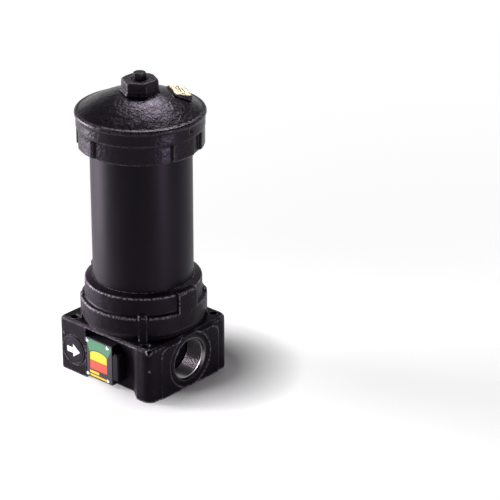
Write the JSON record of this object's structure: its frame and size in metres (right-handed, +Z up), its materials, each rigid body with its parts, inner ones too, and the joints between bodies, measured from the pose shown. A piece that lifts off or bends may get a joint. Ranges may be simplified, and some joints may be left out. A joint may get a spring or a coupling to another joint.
{
  "type": "inline filter",
  "caption": "High pressure inline oil filter: cast base with opposed threaded ports, steel tube, screw-on domed cover with vent plug, clogging indicator block.",
  "frame": {"origin": "middle of the base's flat underside, on the axis of the tube", "axes": "+Z up along the tube, +X out of the outlet port, -Y towards the indicator"},
  "size_m": [0.1462, 0.1462, 0.36],
  "materials": {
    "casting_paint": "satin",
    "tube_paint": "satin",
    "hex_paint": "satin",
    "indicator_black": "matte",
    "label_print": "satin",
    "plate_gold": "satin",
    "bright_steel": "satin",
    "element_steel": "satin",
    "spring_steel": "satin",
    "valve_brass": "satin",
    "copper_seal": "satin",
    "seal_rubber": "matte",
    "media": "matte",
    "piston_red": "gloss"
  },
  "bodies": {
    "housing": {"base_head": "casting_paint", "housing_tube": "tube_paint", "tube_seal": "seal_rubber", "element_top_cap": "element_steel", "element_media": "media", "element_core": "element_steel", "element_bottom_cap": "element_steel", "element_seal": "seal_rubber", "bypass_cage": "element_steel", "bypass_spring": "spring_steel", "indicator_body": "indicator_black", "indicator_label": "label_print", "indicator_screws": "bright_steel", "indicator_gasket": "seal_rubber", "indicator_spring": "spring_steel", "indicator_plug": "hex_paint", "side_disc": "indicator_black"},
    "cover_seal": {"cap_seal": "seal_rubber"},
    "cover": {"cap": "casting_paint", "nameplate": "plate_gold", "nameplate_rivets": "bright_steel", "lock_screw": "bright_steel", "element_spring": "spring_steel"},
    "vent_ring": {"vent_seal": "copper_seal"},
    "vent": {"vent_plug": "hex_paint"},
    "bypass_valve": {"bypass_poppet": "valve_brass"},
    "indicator_slide": {"indicator_piston": "piston_red"}
  },
  "joints": [
    {"name": "cover_lift", "type": "slide", "parent": "housing", "child": "cover_seal", "axis": [0, 0, 1], "range_m": [0, 0.016]},
    {"name": "cover_turn", "type": "hinge", "parent": "cover_seal", "child": "cover", "pos_m": [0, 0, 0.3], "axis": [0, 0, 1], "range_deg": [0, 1440]},
    {"name": "vent_lift", "type": "slide", "parent": "cover", "child": "vent_ring", "axis": [0, 0, 1], "range_m": [0, 0.003]},
    {"name": "vent_turn", "type": "hinge", "parent": "vent_ring", "child": "vent", "pos_m": [0, 0, 0.353], "axis": [0, 0, 1], "range_deg": [0, 720]},
    {"name": "bypass_open", "type": "slide", "parent": "housing", "child": "bypass_valve", "axis": [0, 0, -1], "range_m": [0, 0.005], "stiffness_N_per_m": 2000, "springref_m": -0.01, "deforming": ["bypass_spring"]},
    {"name": "indicator_trip", "type": "slide", "parent": "housing", "child": "indicator_slide", "axis": [0, 0, -1], "range_m": [0, 0.005], "stiffness_N_per_m": 400, "springref_m": -0.004, "deforming": ["indicator_spring"]}
  ],
  "couplings": [
    {"joint": "cover_lift", "follows": "cover_turn", "m_per_rad": 0.0006366},
    {"joint": "vent_lift", "follows": "vent_turn", "m_per_rad": 0.0002387}
  ]
}
